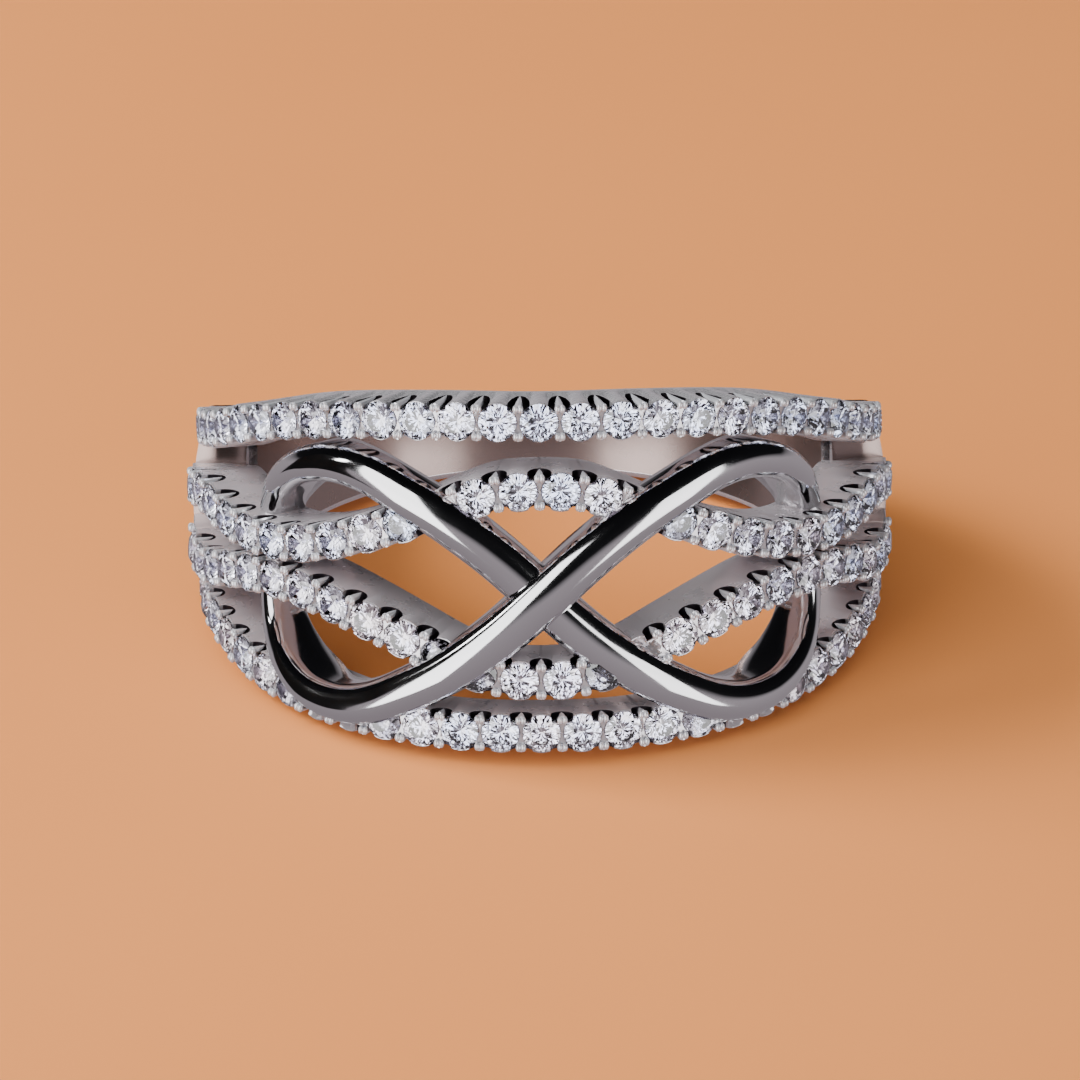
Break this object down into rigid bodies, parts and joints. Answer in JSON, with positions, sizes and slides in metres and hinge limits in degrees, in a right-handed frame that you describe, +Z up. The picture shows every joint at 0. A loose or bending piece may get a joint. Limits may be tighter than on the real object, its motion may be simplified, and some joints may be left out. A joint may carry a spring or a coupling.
{
  "type": "infinity ring",
  "caption": "Wide finger ring with a polished infinity figure laid over crossing rails of small round stones, open between them, with a plain shank at the back.",
  "frame": {"origin": "on the table, below the middle of the ring's outline", "axes": "+Z up from the table, roughly along the finger hole; the front with the infinity faces -Y; +X to the right seen from the front"},
  "size_m": [0.0216, 0.0214, 0.0107],
  "materials": {
    "polished_silver": "mirror polished rhodium plated silver",
    "stone_set_silver": "bright cut silver set with clear round brilliant stones"
  },
  "bodies": {
    "root": {"shank": "polished_silver", "upper_edge_rail": "stone_set_silver", "crossing_strands": "stone_set_silver", "lower_edge_rail": "stone_set_silver", "infinity": "polished_silver"}
  },
  "joints": []
}
